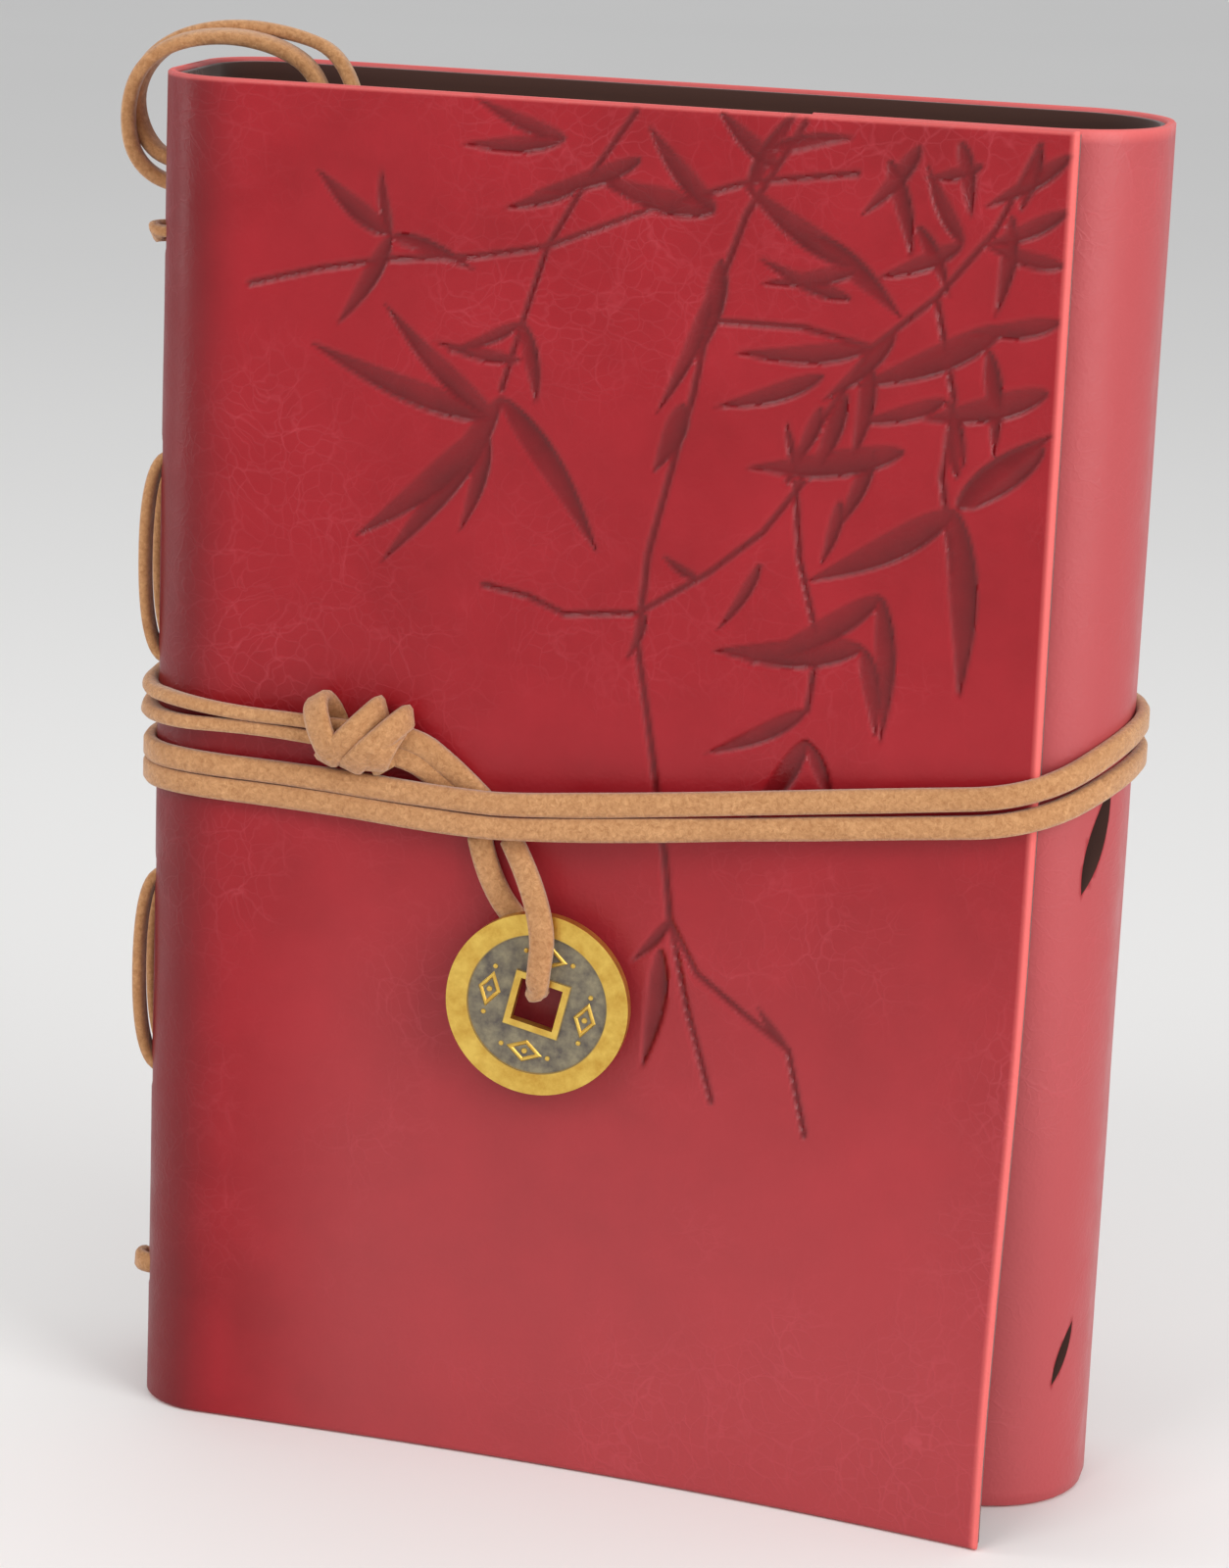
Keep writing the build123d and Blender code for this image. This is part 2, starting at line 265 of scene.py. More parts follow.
def cut_edge():
    """The leather's cut edge: paler, matt and slightly fibrous."""
    look = Look("cut_edge", 0.7)
    where = look.places()
    fibre = look.noise(where, 1400, 4, 0.7)
    layer = look.noise(look.stretched(where, 60, 900, 60), 1.0, 2, 0.5)
    base = look.mix(fibre, srgb(216, 84, 84), srgb(240, 126, 118))
    base = look.mix(look.span(layer, 0.4, 0.7, 0.0, 0.4), base, srgb(180, 54, 60))
    look.link(base, "Base Color")
    look.link(look.bump(fibre, 0.3, 0.0004), "Normal")
    return look.material


def suede(name, dark, light, fibre_scale, places="rest_place", tufts=0.5):
    """Matt napped leather or lining."""
    look = Look(name, 0.92, Sheen_Weight=0.35, Sheen_Roughness=0.5, Specular_IOR_Level=0.2)
    where = look.places() if places == "rest_place" else look.own_places()
    nap = look.noise(where, fibre_scale, 5, 0.7, 0.6)
    cloud = look.noise(where, fibre_scale / 9, 3, 0.6)
    base = look.mix(look.span(nap, 0.3, 0.7), dark, light)
    base = look.mix(look.span(cloud, 0.35, 0.7, 0.0, tufts), base, dark)
    look.link(base, "Base Color")
    look.link(look.bump(nap, 0.45, 0.0005), "Normal")
    return look.material


def page_paper():
    """Uncoated ivory paper, its tone a little different from sheet to sheet."""
    look = Look("page_paper", 0.85, Specular_IOR_Level=0.25)
    where = look.places()
    fibre = look.noise(where, 900, 4, 0.7)
    tone = look.attribute("sheet_tone")
    base = look.mix(tone, srgb(222, 200, 160), srgb(243, 228, 197))
    base = look.mix(look.span(fibre, 0.35, 0.75, 0.0, 0.25), base, srgb(206, 182, 142))
    look.link(base, "Base Color")
    look.link(look.bump(fibre, 0.12, 0.0002), "Normal")
    return look.material


def coin_brass(name, field):
    """Worn brass: bright on what rubs, grey-brown in the sunk field."""
    look = Look(name, 0.36, Metallic=0.85)
    where = look.own_places()
    stain = look.noise(where, 420, 5, 0.65)
    scratch = look.noise(look.stretched(where, 3000, 400, 500), 1.0, 3, 0.6)
    bright = look.mix(look.span(stain, 0.35, 0.7), srgb(228, 192, 94), srgb(200, 154, 64))
    if field:
        centre = (coin_lo + coin_hi) / 2
        axes = look.node("ShaderNodeSeparateXYZ", Vector=where)
        across = look.math("SUBTRACT", axes.outputs["X"], centre.x)
        up = look.math("SUBTRACT", axes.outputs["Z"], centre.z)
        reach = look.math("ADD", look.math("MULTIPLY", across, across), look.math("MULTIPLY", up, up))
        reach = look.math("SQRT", reach, 0.0)
        rim = (coin_hi.x - coin_lo.x) / 2 - COIN_RIM
        sunk = look.span(reach, rim - 0.15 * MM, rim + 0.1 * MM, 1.0, 0.0)
        c, s = cos(COIN_TURN), sin(COIN_TURN)
        along = look.math("ADD", look.math("MULTIPLY", across, c), look.math("MULTIPLY", up, -s))
        aside = look.math("ADD", look.math("MULTIPLY", across, s), look.math("MULTIPLY", up, c))
        square = look.math("MAXIMUM", look.math("ABSOLUTE", along, 0.0), look.math("ABSOLUTE", aside, 0.0))
        clear = look.span(square, 3.75 * MM, 3.95 * MM)
        sunk = look.math("MULTIPLY", sunk, clear)
        worn = look.mix(look.span(stain, 0.35, 0.65), srgb(92, 84, 78), srgb(146, 136, 110))
        bright = look.mix(sunk, bright, worn)
        look.link(look.math("SUBTRACT", 0.85, look.math("MULTIPLY", sunk, 0.45)), "Metallic")
        look.link(look.span(sunk, 0.0, 1.0, 0.34, 0.58), "Roughness")
    look.link(bright, "Base Color")
    normal = look.bump(stain, 0.2, 0.0003)
    look.link(look.bump(scratch, 0.12, 0.0002, normal), "Normal")
    return look.material


LEATHER = cover_leather()
CUT = cut_edge()
LINING = suede("lining_suede", srgb(52, 30, 26), srgb(84, 52, 42), 1100)
STRAP = suede("cord_suede", srgb(166, 113, 69), srgb(216, 163, 113), 1500, tufts=0.35)
PAPER = page_paper()
BRASS = coin_brass("coin_brass", True)
RAISED = coin_brass("raised_brass", False)


# ---- cover sheets: a plan outline swept up the height ----
def straight(x0, y0, x1, y1, step):
    """Points and outward normals along a straight stretch of the outline."""
    length = sqrt((x1 - x0) ** 2 + (y1 - y0) ** 2)
    count = max(2, round(length / step))
    t = np.linspace(0, 1, count + 1)
    normal = ((y1 - y0) / length, -(x1 - x0) / length)
    return [(x0 + (x1 - x0) * s, y0 + (y1 - y0) * s, *normal) for s in t]


def bend(cx, cy, radius, start, end, step):
    """Points and outward normals round a corner of the outline, angles in degrees."""
    count = max(6, round(abs(radians(end - start)) * radius / step))
    angles = np.radians(np.linspace(start, end, count + 1))
    return [(cx + radius * cos(a), cy + radius * sin(a), cos(a), sin(a)) for a in angles]


def joined(*stretches):
    """One outline from several, each first point dropped where it repeats the one before."""
    points = list(stretches[0])
    for stretch in stretches[1:]:
        points += stretch[1:]
    return np.array(points)


FINE, COARSE = 0.42 * MM, 1.2 * MM


def front_outline(fine):
    """From the middle of the spine round its front corner to the front cover's free edge."""
    corner_y = front_y + spine_radius
    return joined(
        straight(spine_x, 0.0, spine_x, corner_y, COARSE),
        bend(hinge_x, corner_y, spine_radius, 180, 270, COARSE / 2),
        straight(hinge_x, front_y, cover_edge_x, front_y, fine),
    )


def back_outline():
    """From the tucked edge of the flap round the fore-edge and the back to the middle of the spine."""
    fore_y = flap_y + fore_radius
    return joined(
        straight(tuck_x, flap_y, flap_hinge_x, flap_y, COARSE),
        bend(flap_hinge_x, fore_y, fore_radius, -90, 0, COARSE / 2),
        straight(fore_x, fore_y, fore_x, back_y - fore_radius, COARSE),
        bend(flap_hinge_x, back_y - fore_radius, fore_radius, 0, 90, COARSE / 2),
        straight(flap_hinge_x, back_y, hinge_x, back_y, COARSE),
        bend(hinge_x, back_y - spine_radius, spine_radius, 90, 180, COARSE / 2),
        straight(spine_x, back_y - spine_radius, spine_x, 0.0, COARSE),
    )


def front_lift(x, z):
    """How far the front cover stands forward: pulled in by the closure, sprung out at its lower corner."""
    along = np.clip((x - hinge_x) / (cover_edge_x - hinge_x), 0.0, 1.0)
    low = smooth(78 * MM, 6 * MM, z)
    lift = 12.5 * MM * low * (0.30 * along + 0.70 * along**2.4)
    press_in = np.exp(-(((z - 96 * MM) / (17 * MM)) ** 2)) * smooth(0.35, 1.0, along)
    return lift - 1.0 * MM * press_in


# ---- the pressed bamboo: twigs as runs of points on the cover, leaves as pointed blades ----
# Millimetres across from the cover's middle and up from its bottom edge.
STEMS = [
    (0.90, [(23, 184), (16, 172), (12, 160), (10, 148), (8, 140)]),
    (0.90, [(8, 140), (5, 127), (4, 115), (6.5, 101), (9, 86), (10, 78)]),
    (0.80, [(10, 78), (14, 71), (21, 66), (27, 62), (30, 51)]),
    (0.80, [(10, 78), (13, 66), (17, 54)]),
    (0.80, [(1, 184), (-5, 175), (-10, 166), (-13, 156), (-15.5, 147)]),
    (0.80, [(-10, 166), (-20, 164), (-31, 163), (-41, 161), (-50, 158.5)]),
    (0.80, [(-10, 166), (4, 172), (16, 176), (30, 178)]),
    (0.80, [(4, 119), (-6, 118), (-11, 120), (-17, 121)]),
    (0.80, [(4, 119), (13, 125), (20, 131), (25, 138)]),
    (0.80, [(53, 183), (48, 172), (41, 163), (33, 156), (27, 146), (23, 138)]),
    (0.80, [(41, 163), (44, 150), (43, 140), (45, 128)]),
    (0.80, [(33, 156), (24, 158), (13, 158)]),
    (0.80, [(24, 138), (25, 128), (28, 117), (27, 108)]),
]
# (x, z of the blade's root, the way it points in degrees, length, greatest width)
BLADES = [
    (-31, 166, 142, 13, 2.9), (-31, 166, 100, 9, 1.6), (-31, 166, -18, 12, 2.2), (-31, 166, -120, 14, 2.5),
    (-16, 143, 162, 27, 3.6), (-16, 143, 138, 21, 3.0), (-17, 142, 222, 24, 3.8), (-17, 141, 255, 14, 2.3),
    (-15.5, 146, 236, 28, 3.7), (-15.5, 146, -55, 24, 3.6), (-13, 156, 205, 11, 1.8),
    (-13, 156, -78, 11, 2.2),
    (-13, 151, 172, 12, 1.8), (-8, 180, 186, 14, 2.4), (-8, 180, 160, 13, 2.2), (-5, 175, -158, 12, 2.2),
    (2, 178, 200, 15, 2.6), (12, 172, 168, 17, 3.6), (12, 172, 132, 14, 2.8), (16, 175, 60, 13, 2.4),
    (13, 166, -102, 14, 3.0), (12, 162, -112, 18, 2.2), (9, 147, -112, 10, 3.2), (20, 178, 140, 11, 2.6),
    (31, 166, 148, 19, 3.4), (31, 166, 192, 13, 2.4), (30, 162, 160, 13, 2.2), (33, 156, 186, 18, 2.8),
    (27, 152, 200, 15, 2.6), (30, 150, -110, 13, 2.4), (27, 148, 246, 9, 2.0), (33, 154, -98, 13, 2.4),
    (44, 170, 118, 11, 2.2), (44, 170, 205, 12, 2.4), (50, 174, -96, 13, 2.4), (50, 160, 206, 21, 4.0),
    (43, 150, 198, 12, 2.4), (43, 150, -72, 9, 1.8), (38, 143, 190, 21, 3.8), (34, 143, -112, 12, 2.2),
    (45, 136, 210, 22, 4.2), (45, 136, 42, 16, 3.6), (45, 136, -86, 25, 4.0), (45, 140, 95, 12, 1.8),
    (36, 124, 212, 20, 3.6), (36, 124, -88, 20, 2.8), (34, 117, 186, 20, 4.2), (34, 117, -80, 12, 2.6),
    (30, 136, -104, 9, 1.8), (27, 108, 208, 15, 2.6), (27, 104, -122, 15, 3.0), (27, 104, -66, 10, 2.0),
    (20, 127, 240, 11, 1.6), (10, 78, 232, 8, 1.6), (9, 74, -96, 17, 2.8), (27, 62, 130, 7, 1.4),
    (57, 182, 214, 13, 2.4), (53, 183, -104, 9, 2.0), (57, 175, 206, 12, 2.4), (57, 168, 168, 11, 2.2),
    (57, 161, 190, 12, 2.6), (56, 152, 196, 17, 3.6), (56, 145, 224, 13, 2.4), (46, 180, 196, 8, 1.8),
    (38, 182, 232, 12, 2.4), (34, 180, -74, 13, 2.4), (43, 183, -80, 10, 2.2), (24, 170, -38, 16, 3.2),
    (18, 180, 12, 12, 2.2), (36, 158, 226, 13, 2.4), (48, 157, -84, 14, 2.4), (38, 172, -62, 10, 2.0),
    (-2, 64, -104, 10, 2.0), (5, 119, 250, 7, 1.3), (12, 124, 150, 6, 1.4), (25, 138, 108, 8, 1.5),
]
EDGE = 0.24  # half the width of the pressed edge's slope, millimetres
PRESS_DEPTH = 0.58 * MM
DRAWN_DEPTH = 0.3 * MM  # of the leather round a hole


def pressed(x, z):
    """How deep each place is pressed, from 0 to 1: the stems, then the blades. Millimetres in."""
    depth = np.zeros_like(x)
    for width, points in STEMS:
        for (x0, z0), (x1, z1) in zip(points, points[1:]):
            dx, dz = x1 - x0, z1 - z0
            t = np.clip(((x - x0) * dx + (z - z0) * dz) / (dx * dx + dz * dz), 0, 1)
            away = np.hypot(x - x0 - t * dx, z - z0 - t * dz)
            depth = np.maximum(depth, 0.8 * smooth(width / 2 + EDGE, width / 2 - EDGE, away))
    for x0, z0, way, length, width in BLADES:
        a = radians(way)
        along = ((x - x0) * cos(a) + (z - z0) * sin(a)) / length
        aside = -(x - x0) * sin(a) + (z - z0) * cos(a)
        bow = 0.035 * length * np.sin(pi * np.clip(along, 0, 1))
        blade = np.sin(pi * np.clip(along, 0, 1) ** 0.72) ** 0.85 * width / 2 * (1 - 0.15 * along)
        inside = blade - np.abs(aside - bow)
        level = smooth(-EDGE, EDGE, inside) * (along > 0) * (along < 1)
        level = level * (0.58 + 0.42 * smooth(-width / 2, width / 2, aside - bow))
        depth = np.maximum(depth, level)
    return depth


def holes_dimple(y, z):
    """Round the laces' and cords' holes the spine's leather is drawn in."""
    spots = []
    for name in ("signature_1", "signature_2", "signature_3", "signature_4"):
        lo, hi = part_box(name)
        spots += [((lo.y + hi.y) / 2, row * MM) for row in LACE_ROWS]
    spots += [(CORD_HOLES_Y, level * MM) for level in CORD_HOLES_Z]
    drawn = np.zeros_like(y)
    for spot_y, spot_z in spots:
        drawn = np.maximum(drawn, smooth(2.6 * MM, 1.5 * MM, np.hypot(y - spot_y, z - spot_z)))
    return drawn


def between(line, other):
    """Quads between two lines of vertex numbers, or between a grid's neighbouring lines."""
    return np.stack((line[:-1], line[1:], other[1:], other[:-1]), axis=-1).reshape(-1, 4)


def sheet_faces(outer, inner):
    """A closed sheet's quads from its two grids of vertex numbers: the skins, and the rims."""
    skins = [between(grid[:, :-1], grid[:, 1:]) for grid in (outer, inner)]
    rims = [between(outer[:, end], inner[:, end]) for end in (0, -1)]
    rims += [between(outer[end], inner[end]) for end in (0, -1)]
    return np.concatenate(skins), np.concatenate(rims)


def sheet(name, outline, outer, inner, z0, z1, z_step, relief=False, rounding=0.25 * MM):
    """A closed sheet between two offsets of an outline, with rolled top and bottom edges."""
    rows = max(2, round((z1 - z0) / z_step))
    z = np.concatenate([[z0], np.linspace(z0 + rounding, z1 - rounding, rows - 1), [z1]])
    count, high = len(outline), len(z)
    px, py = outline[:, 0][:, None], outline[:, 1][:, None]
    nx, ny = outline[:, 2][:, None], outline[:, 3][:, None]
    zz = np.broadcast_to(z[None, :], (count, high))
    x, y = np.broadcast_to(px, zz.shape), np.broadcast_to(py, zz.shape)
    edge_in = np.zeros_like(zz)
    edge_in[:, 0] = edge_in[:, -1] = rounding
    press = np.zeros_like(zz)
    if relief:
        on_front = (ny < -0.98) & (x > hinge_x)
        press = np.where(on_front, pressed(x / MM, zz / MM), 0.0)
    spine_side = np.broadcast_to(nx < -0.9, zz.shape)
    drawn = np.where(spine_side, holes_dimple(y, zz), 0.0)
    wave = 0.10 * MM * np.sin(x * 95 + 2.1 * np.sin(zz * 61)) * np.sin(zz * 83 + 1.3 * np.sin(x * 47))
    marks = PRESS_DEPTH * press + DRAWN_DEPTH * drawn + np.minimum(wave, 0.06 * MM) * 0.5
    sink_out = outer + edge_in + marks
    sink_in = inner - edge_in
    faces_out = np.stack([x - nx * sink_out, y - ny * sink_out, zz], axis=-1).reshape(-1, 3)
    faces_in = np.stack([x - nx * sink_in, y - ny * sink_in, zz], axis=-1).reshape(-1, 3)
    points = np.concatenate([faces_out, faces_in])
    flat = np.concatenate([np.stack([x, y, zz], axis=-1).reshape(-1, 3)] * 2)
    lift = np.where((flat[:, 1] < 0) & relief_side(flat, outline), front_lift(flat[:, 0], flat[:, 2]), 0.0)
    points[:, 1] -= lift
    index = np.arange(count * high).reshape(count, high)
    second = index + count * high
    skins, rims = sheet_faces(index, second)
    obj = new_mesh(name, points, np.concatenate([skins, rims]))
    on_rim = np.arange(len(skins) + len(rims)) >= len(skins)
    obj.data.polygons.foreach_set("material_index", on_rim.astype(np.int32))
    obj.data.polygons.foreach_set("use_smooth", ~on_rim)
    obj.data.set_sharp_from_angle(angle=radians(50))
    keep_places(obj)
    return obj, press, drawn, x, y, zz


def relief_side(flat, outline):
    """True on an outline that belongs to the front cover."""
    return (flat[:, 0] > hinge_x) & (abs(outline[-1][0] - cover_edge_x) < 1 * MM)


def dress_cover(obj, press, drawn, x, y, z, fore):
    """Where the cover's leather is pressed; paler with painted sheen on the fore-edge and towards the
    bottom; darker with painted shade round the spine and its holes.
    """
    low = smooth(120 * MM, 10 * MM, z) * 0.46
    # pale: painted sheen over the fore-edge, and lighter towards the bottom.
    pale = np.maximum(0.82 * fore, low * smooth(hinge_x, hinge_x + 26 * MM, x))
    # dark: painted shade on the spine's rounding and in the drawn-in dimples round the holes.
    painted_spine_shade = smooth(hinge_x + 4 * MM, hinge_x - 4 * MM, x)
    dark = 0.64 * painted_spine_shade + 0.4 * drawn
    free = smooth(cover_edge_x - 1.0 * MM, cover_edge_x - 0.6 * MM, x) * (y < front_y + 1 * MM)
    top = smooth(height - 0.7 * MM, height - 0.4 * MM, z) * 0.55
    edge = np.maximum(free * (fore <= 0), top)
    for name, values in (("press", press), ("pale", pale), ("dark", dark), ("edge", edge)):
        add_values(obj, name, np.concatenate([values.ravel()] * 2))
    obj.data.materials.append(LEATHER)
    obj.data.materials.append(CUT)


outline = front_outline(FINE)
front_leather, press, drawn, gx, gy, gz = sheet(
    "front_leather", outline, 0.0, leather - 0.05 * MM, 0.0, height, FINE, relief=True
)
dress_cover(front_leather, press, drawn, gx, gy, gz, np.zeros_like(gx))
outline = back_outline()
back_leather, press, drawn, gx, gy, gz = sheet(
    "back_leather", outline, 0.0, leather - 0.05 * MM, 0.0, height, 1.5 * MM
)
# The fore-edge's share, which takes the cover's painted sheen.
fore_side = smooth(flap_hinge_x - 30 * MM, flap_hinge_x + 4 * MM, gx)
dress_cover(back_leather, press, drawn, gx, gy, gz, fore_side)


# Leaf-shaped slots through the fore-edge, their cut walls given the dark lining suede as painted shade
def leaf_cutter(y, z, length, width, lean):
    """A pointed prism across the fore-edge."""
    sag = width / 2
    radius = (length**2 / 4 + sag**2) / (2 * sag)
    half = np.linspace(-1, 1, 13)
    rim_points = []
    for side in (1, -1):
        for t in (half if side == 1 else half[::-1])[:-1]:
            along = t * length / 2
            aside = side * (sqrt(radius**2 - along**2) - (radius - sag))
            a = radians(lean)
            rim_points.append((y + aside * cos(a) + along * sin(a), z - aside * sin(a) + along * cos(a)))
    count = len(rim_points)
    near, far = flap_hinge_x - 2 * MM, fore_x + 4 * MM
    verts = [(near, py, pz) for py, pz in rim_points] + [(far, py, pz) for py, pz in rim_points]
    faces = [tuple(range(count))[::-1], tuple(range(count, 2 * count))]
    faces += [(n, (n + 1) % count, count + (n + 1) % count, count + n) for n in range(count)]
    cutter = new_mesh("slot_cutter", verts, faces, False)
    # The walls take the third material, the dark lining suede: painted shade inside the slots.
    for material in (LEATHER, CUT, LINING):
        cutter.data.materials.append(material)
    cutter.data.polygons.foreach_set("material_index", [2] * len(cutter.data.polygons))
    return cutter


# (y and z of the middle, length, width, lean in degrees)
SLOTS = [(-8.6, 92.5, 15.0, 2.6, 14.0), (-8.6, 21.0, 9.0, 1.4, 18.0)]


def cut_slots(obj):
    """Both slots, cut right through, with the dark third material, the lining suede, on their walls as
    painted shade.
    """
    for y, z, length, width, lean in SLOTS:
        cutter = leaf_cutter(y * MM, z * MM, length * MM, width * MM, lean)
        boolean = obj.modifiers.new("slot", "BOOLEAN")
        boolean.operation = "DIFFERENCE"
        boolean.solver = "EXACT"
        boolean.object = cutter
        graph = bpy.context.evaluated_depsgraph_get()
        mesh = bpy.data.meshes.new_from_object(obj.evaluated_get(graph))
        obj.modifiers.clear()
        old = obj.data
        obj.data = mesh
        bpy.data.meshes.remove(old)
        bpy.data.objects.remove(cutter)


back_leather.data.materials.append(LINING)  # the slots' walls take the lining's dark colour as painted shade
cut_slots(back_leather)

lining_in = leather + 0.02 * MM
lining_out = front_outline(COARSE)
front_suede, *_ = sheet(
    "front_suede", lining_out, lining_in, shell, lining_inset, height - lining_inset, 1.5 * MM,
    rounding=0.15 * MM,
)
back_suede, *_ = sheet(
    "back_suede", back_outline(), lining_in, shell, lining_inset, height - lining_inset, 1.5 * MM,
    rounding=0.15 * MM,
)
for piece in (front_suede, back_suede):
    piece.data.materials.append(LINING)
    piece.data.materials.append(LINING)
cut_slots(back_suede)

for piece in (front_leather, front_suede):
    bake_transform(piece)
for piece in (back_leather, back_suede):
    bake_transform(piece)
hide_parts("front_cover", "spine_and_back_cover")
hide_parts("fore_edge_flap")
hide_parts("front_lining", "spine_and_back_lining")
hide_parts("flap_lining")


# ---- signatures: nested folded sheets ----
SHEETS = 9
SHEET_THICK = 0.26 * MM
SHEET_GAP = 0.03 * MM
LACE_ROOM = 1.9 * MM  # half the room that the folds leave for the lace
PAGE_ROOM = 0.08 * MM  # half the room left between the two innermost leaves


def fold_path(fold_x, reach, at_fold, at_page):
    """A folded sheet's outer line in plan, with its normals: one leaf, the fold, the other leaf."""
    leaves = []
    for side in (-1, 1):
        leaf = []
        for t in np.linspace(0, 1, 14):
            x = fold_x + t * (reach - fold_x)
            spread = float(smooth(0.0, 14 * MM, x - fold_x))
            leaf.append((x, side * (at_fold + (at_page - at_fold) * spread), 0, side))
        leaves.append(leaf)
    turn = []
    for a in np.linspace(-90, -270, 11)[1:-1]:
        c, s = cos(radians(a)), sin(radians(a))
        turn.append((fold_x + at_fold * c, at_fold * s, c, s))
    return leaves[0][::-1] + turn + leaves[1]


def folded_sheets(number, body, seed):
    """One signature as nested sheets, each folded round the lace and trimmed a little unevenly."""
    lo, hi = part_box(f"signature_{number}")
    middle, half_depth = (lo.y + hi.y) / 2, (hi.y - lo.y) / 2
    fold_x = lo.x + half_depth
    shade = random.Random(seed)
    verts, faces, tone = [], [], []
    pitch = (half_depth - LACE_ROOM) / SHEETS
    thin = min(SHEET_THICK, 0.85 * pitch)
    for k in range(SHEETS):
        at_fold = half_depth - SHEET_GAP - k * pitch
        at_page = half_depth - SHEET_GAP - k * (half_depth - PAGE_ROOM) / SHEETS
        reach = hi.x - (0.3 + shade.uniform(0, 0.9) + 0.12 * (SHEETS - k)) * MM
        top = hi.z - shade.uniform(0.1, 0.7) * MM
        bottom = lo.z + shade.uniform(0.0, 0.5) * MM
        path = fold_path(fold_x, reach, at_fold, at_page)
        base = len(verts)
        levels = np.linspace(bottom, top, 9)
        for inward in (0.0, thin):
            for x, y, nx, ny in path:
                verts += [(x - nx * inward, middle + y - ny * inward, level) for level in levels]
        across, high = len(path), len(levels)
        index = base + np.arange(across * high).reshape(across, high)
        second = index + across * high
        faces += np.concatenate(sheet_faces(index, second)).tolist()
        tone += [shade.uniform(0.0, 1.0)] * (2 * across * high)
    obj = new_mesh(f"signature_sheets_{number}", verts, faces, False)
    keep_places(obj)
    add_values(obj, "sheet_tone", tone)
    obj.data.materials.append(PAPER)
    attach(obj, body)
    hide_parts(f"signature_{number}")


for number, body in ((1, "first_signature"), (2, "second_signature"), (3, "book"), (4, "book")):
    folded_sheets(number, body, 40 + number)


# ---- cords ----
def spline_points(route, spacing):
    """Evenly spaced points along the smooth line that a route's points hold."""
    curve = bpy.data.curves.new("route", "CURVE")
    curve.dimensions = "3D"
    spline = curve.splines.new("NURBS")
    spline.points.add(len(route) - 1)
    for point, place in zip(spline.points, route):
        point.co = (*(c * MM for c in place), 1.0)
    spline.order_u = 3
    spline.use_endpoint_u = True
    curve.resolution_u = 24
    holder = bpy.data.objects.new("route", curve)
    bpy.context.scene.collection.objects.link(holder)
    graph = bpy.context.evaluated_depsgraph_get()
    mesh = bpy.data.meshes.new_from_object(holder.evaluated_get(graph))
    places = np.array([v.co for v in mesh.vertices])
    bpy.data.objects.remove(holder)
    bpy.data.curves.remove(curve)
    bpy.data.meshes.remove(mesh)
    steps = np.linalg.norm(np.diff(places, axis=0), axis=1)
    along = np.concatenate([[0], np.cumsum(steps)])
    count = max(4, round(along[-1] / spacing))
    at = np.linspace(0, along[-1], count + 1)
    return np.stack([np.interp(at, along, places[:, k]) for k in range(3)], axis=1), float(along[-1])


def strap_section(sides=8):
    """A strap's soft-edged section, in shares of its half width and half thickness."""
    corners = []
    for n in range(-sides // 2, sides // 2):
        a = (n + 0.5) * 2 * pi / sides
        corners.append((np.sign(cos(a)) * abs(cos(a)) ** 0.5, np.sign(sin(a)) * abs(sin(a)) ** 0.6))
    return corners


def next_normal(before, tangent, hint):
    """The strap's facing at a point: the hint made square to the line, eased from the one before."""
    hint = np.array(hint, dtype=float)
    hint -= tangent * hint.dot(tangent)
    size = np.linalg.norm(hint)
    if before is not None:
        carried = before - tangent * before.dot(tangent)
        carried /= np.linalg.norm(carried)
        weight = min(1.0, max(0.0, (size - 0.35) / 0.4))
        hint = carried * (1 - 0.5 * weight) + hint / max(size, 1e-9) * 0.5 * weight
        size = np.linalg.norm(hint)
    return hint / size


def strap(name, points, width, thick, facing, seed, sink=0.0, twist=None):
    """A flat suede strap along points: wide across its facing, soft-edged and a little uneven."""
    noise = np.random.default_rng(seed)
    count = len(points)
    tangents = np.gradient(points, axis=0)
    tangents /= np.linalg.norm(tangents, axis=1)[:, None]
    knots = max(4, count // 9)
    drift = np.interp(np.arange(count), np.linspace(0, count - 1, knots), noise.uniform(-1, 1, knots))
    section = strap_section()
    verts, normal = [], None
    for n, (place, tangent) in enumerate(zip(points, tangents)):
        normal = next_normal(normal, tangent, facing(place))
        turned = normal
        if twist is not None:
            a = twist(n / (count - 1))
            turned = normal * cos(a) + np.cross(tangent, normal) * sin(a)
        aside = np.cross(tangent, turned)
        half_w, half_t = width / 2 * (1 + 0.045 * drift[n]), thick / 2 * (1 - 0.05 * drift[n])
        centre = place - normal * sink
        verts += [centre + aside * u * half_w + turned * v * half_t for u, v in section]
    ring = len(section)
    faces = []
    for n in range(count - 1):
        for k in range(ring):
            a, b = n * ring + k, n * ring + (k + 1) % ring
            faces.append((a, b, b + ring, a + ring))
    faces.append(tuple(range(ring))[::-1])
    faces.append(tuple(range((count - 1) * ring, count * ring)))
    obj = new_mesh(name, verts, faces)
    keep_places(obj)
    obj.data.materials.append(STRAP)
    return obj


def off_book(place):
    """The way out of the closed book from its nearest face or corner."""
    x, y, _ = place
    left, right = hinge_x, flap_hinge_x
    front, back = front_y + spine_radius, back_y - spine_radius
    if x > 0:
        front, back = flap_y + fore_radius, back_y - fore_radius
    way_x = min(x - left, 0.0) if x < left else max(x - right, 0.0)
    way_y = min(y - front, 0.0) if y < front else max(y - back, 0.0)
    length = sqrt(way_x**2 + way_y**2)
    return (way_x / length, way_y / length, 0.0) if length > 0 else (-1.0, 0.0, 0.0)


